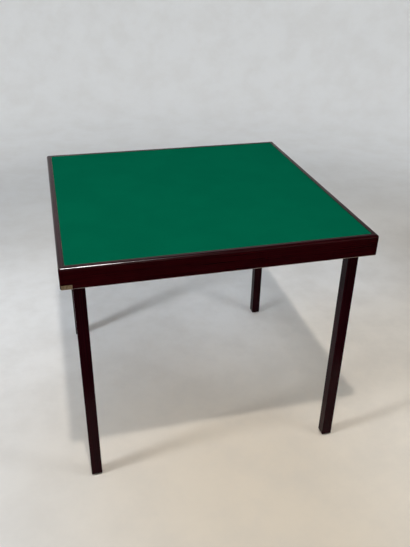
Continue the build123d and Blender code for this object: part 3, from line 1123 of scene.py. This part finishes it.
bm = bmesh.new()
centre = bm.verts.new((0, 0, 0))
floor_end = bm.verts.new((FLOOR_RADIUS, 0, 0))
bm.edges.new((centre, floor_end))
turned_up = bmesh.ops.spin(
    bm, geom=[floor_end], cent=(FLOOR_RADIUS, 0, SWEEP_RADIUS), axis=(0, -1, 0),
    angle=math.pi / 2, steps=12, use_merge=False,
)["geom_last"]
top = bmesh.ops.extrude_vert_indiv(bm, verts=turned_up)["verts"]
bmesh.ops.translate(bm, verts=top, vec=(0, 0, WALL_TOP - SWEEP_RADIUS))
bmesh.ops.spin(
    bm, geom=bm.verts[:] + bm.edges[:], cent=(0, 0, 0), axis=(0, 0, 1),
    angle=2 * math.pi, steps=96, use_merge=True,
)
bmesh.ops.remove_doubles(bm, verts=bm.verts, dist=1e-6)
for face in bm.faces:
    face.smooth = True
    if face.normal.dot(ROOM_MIDDLE - face.calc_center_median()) < 0:
        face.normal_flip()
floor = as_object(bm, "studio_floor", make_floor_finish())
print("floor and wall with", len(floor.data.polygons), "faces")

# %% [markdown]
# A glossy dark object photographed in a white room goes grey, because it mirrors
# the room. Photographers lay black cloth where only the reflections can see it.
# Here dark mats lie on the floor in front of the table and beside it; the camera
# doesn't see them, but the faces of the table do, and keep their depth of colour.

# %% Dark mats out of view
MAT_REACH, MAT_FRONT, MAT_SIDE, MAT_BACK = 3.0, -0.72, 0.72, 1.0
MAT_HEIGHT = 0.002
MAT_BLACK = (0.004, 0.004, 0.004, 1.0)
bm = bmesh.new()
for x_low, x_high, y_low, y_high in (
    (-MAT_REACH, MAT_REACH, -MAT_REACH, MAT_FRONT),
    (-MAT_REACH, -MAT_SIDE, MAT_FRONT, MAT_BACK),
    (MAT_SIDE, MAT_REACH, MAT_FRONT, MAT_BACK),
):
    laid = bmesh.ops.create_grid(bm, x_segments=1, y_segments=1, size=0.5)["verts"]
    bmesh.ops.scale(bm, verts=laid, vec=(x_high - x_low, y_high - y_low, 1))
    middle = ((x_low + x_high) / 2, (y_low + y_high) / 2, MAT_HEIGHT)
    bmesh.ops.translate(bm, verts=laid, vec=middle)
mat_finish = new_finish(
    "black_cloth", Base_Color=MAT_BLACK, Roughness=1.0, Specular_IOR_Level=0.0
)[0]
mats = as_object(bm, "dark_mats", mat_finish)
mats.visible_camera = mats.visible_diffuse = mats.visible_shadow = False

# %% [markdown]
# ## Light
#
# A small, slightly warm main lamp, high in front, gives the crisp shadow under the
# table. Two wider, cooler ones at the sides fill in, and the sky of the world
# gives the rest from all round. Together they light a level surface at about the
# strength at which a colour shows as it was written. Power is worked out from that
# share, the distance and the slant, which is easier to reason with than watts.
#
# A bigger lamp beside the main one is seen in reflections only, so the glint along
# the front edge of the top can be set without changing the shadow. What the
# lacquer mirrors of the sky is bright low down and dark overhead, like a ceiling,
# and the dark part comes lower to the right.

# %% Lamps and world
TABLE_MIDDLE = Vector((0.0, 0.0, 0.7))
WARM_LIGHT, COOL_LIGHT = (1.065, 0.994, 0.91), (0.96, 1.0, 1.045)
WHITE_LIGHT = (1.0, 1.0, 1.0)
SKY_FILL, SKY_LOW, SKY_OVERHEAD = 0.28, 0.82, 0.02
# Heights and ways to the right are parts of a direction of length one.
SKY_EDGE, SKY_LEAN, SKY_LEAN_WAYS = (0.58, 0.74), 0.24, (0.12, 0.46)


def add_lamp(name, place, share, size, colour, diffuse=True, glossy=True):
    """An area lamp of a width and height, with its share of the tabletop's light."""
    place = Vector(place)
    way = place - TABLE_MIDDLE
    lamp = bpy.data.objects.new(name, bpy.data.lights.new(name, "AREA"))
    lamp.data.shape = "RECTANGLE"
    lamp.data.size, lamp.data.size_y = size
    lamp.data.color = colour
    lamp.data.energy = share * math.pi ** 2 * way.length ** 3 / way.z
    lamp.location = place
    lamp.rotation_mode = "QUATERNION"
    lamp.rotation_quaternion = way.to_track_quat("Z", "Y")
    lamp.visible_diffuse, lamp.visible_glossy = diffuse, glossy
    bpy.context.scene.collection.objects.link(lamp)
    watts = round(lamp.data.energy, 1)
    print("lamp", name, "at", round(way.length, 2), "m with", watts, "W")


add_lamp(
    "main_lamp", place=(-0.29, -1.46, 4.45), share=0.36, size=(0.15, 0.15),
    colour=WARM_LIGHT,
)
add_lamp(
    "left_lamp", place=(-2.75, -0.86, 2.4), share=0.235, size=(0.5, 0.5),
    colour=COOL_LIGHT,
)
add_lamp(
    "right_lamp", place=(1.7, -1.3, 3.0), share=0.105, size=(0.8, 0.8),
    colour=COOL_LIGHT, glossy=False,
)
add_lamp(
    "glint_lamp", place=(-0.35, -1.44, 4.45), share=3.4, size=(0.60, 0.46),
    colour=WHITE_LIGHT, diffuse=False,
)

world = bpy.data.worlds.new("studio_air")
bpy.context.scene.world = world
world.use_nodes = True
air = world.node_tree
way = add(air, "SeparateXYZ", Vector=add(air, "TexCoord").outputs["Generated"]).outputs
lean = spread(air, way[0], *SKY_LEAN_WAYS, to_high=SKY_LEAN)
height = maths(air, "ADD", way[2], lean)
mirrored = spread(air, height, *SKY_EDGE, to_low=SKY_LOW, to_high=SKY_OVERHEAD)
strength = add(air, "Mix", Factor=seen_rays(air), A=SKY_FILL, B=mirrored).outputs[0]
sky = air.nodes["Background"]
sky.inputs["Color"].default_value = (*COOL_LIGHT, 1.0)
plug(air, sky.inputs["Strength"], strength)
